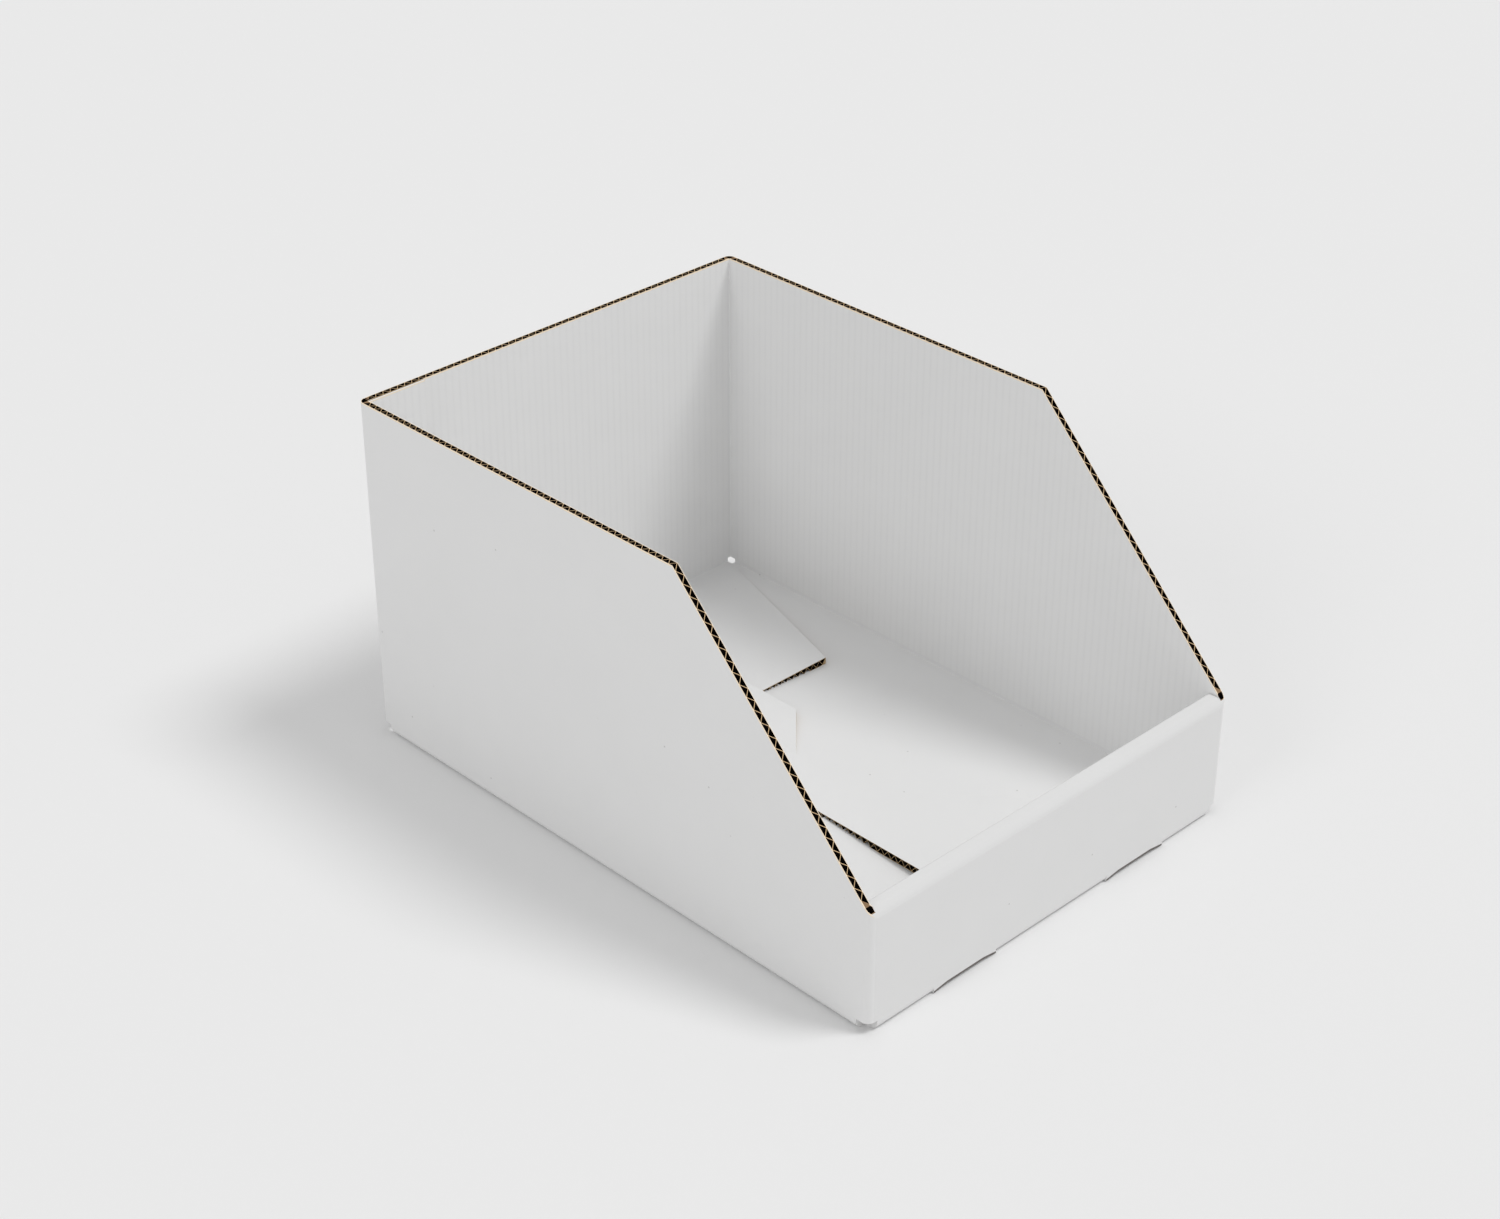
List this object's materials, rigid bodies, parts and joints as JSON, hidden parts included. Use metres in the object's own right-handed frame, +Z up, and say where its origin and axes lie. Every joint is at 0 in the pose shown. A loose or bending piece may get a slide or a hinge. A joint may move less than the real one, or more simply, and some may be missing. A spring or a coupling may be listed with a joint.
{
  "type": "cardboard display stand",
  "caption": "Open-fronted countertop display bin folded from white corrugated board, with side walls sloping down to a rolled front and a hooked bottom.",
  "frame": {"origin": "on the ground, under the middle of the bin's outside box", "axes": "+Z up; the low rolled front faces -Y; +X is to the right seen from the front"},
  "size_m": [0.17, 0.236, 0.129],
  "materials": {
    "white_board": "matte"
  },
  "bodies": {
    "root": {"display_bin": "white_board"}
  },
  "joints": []
}
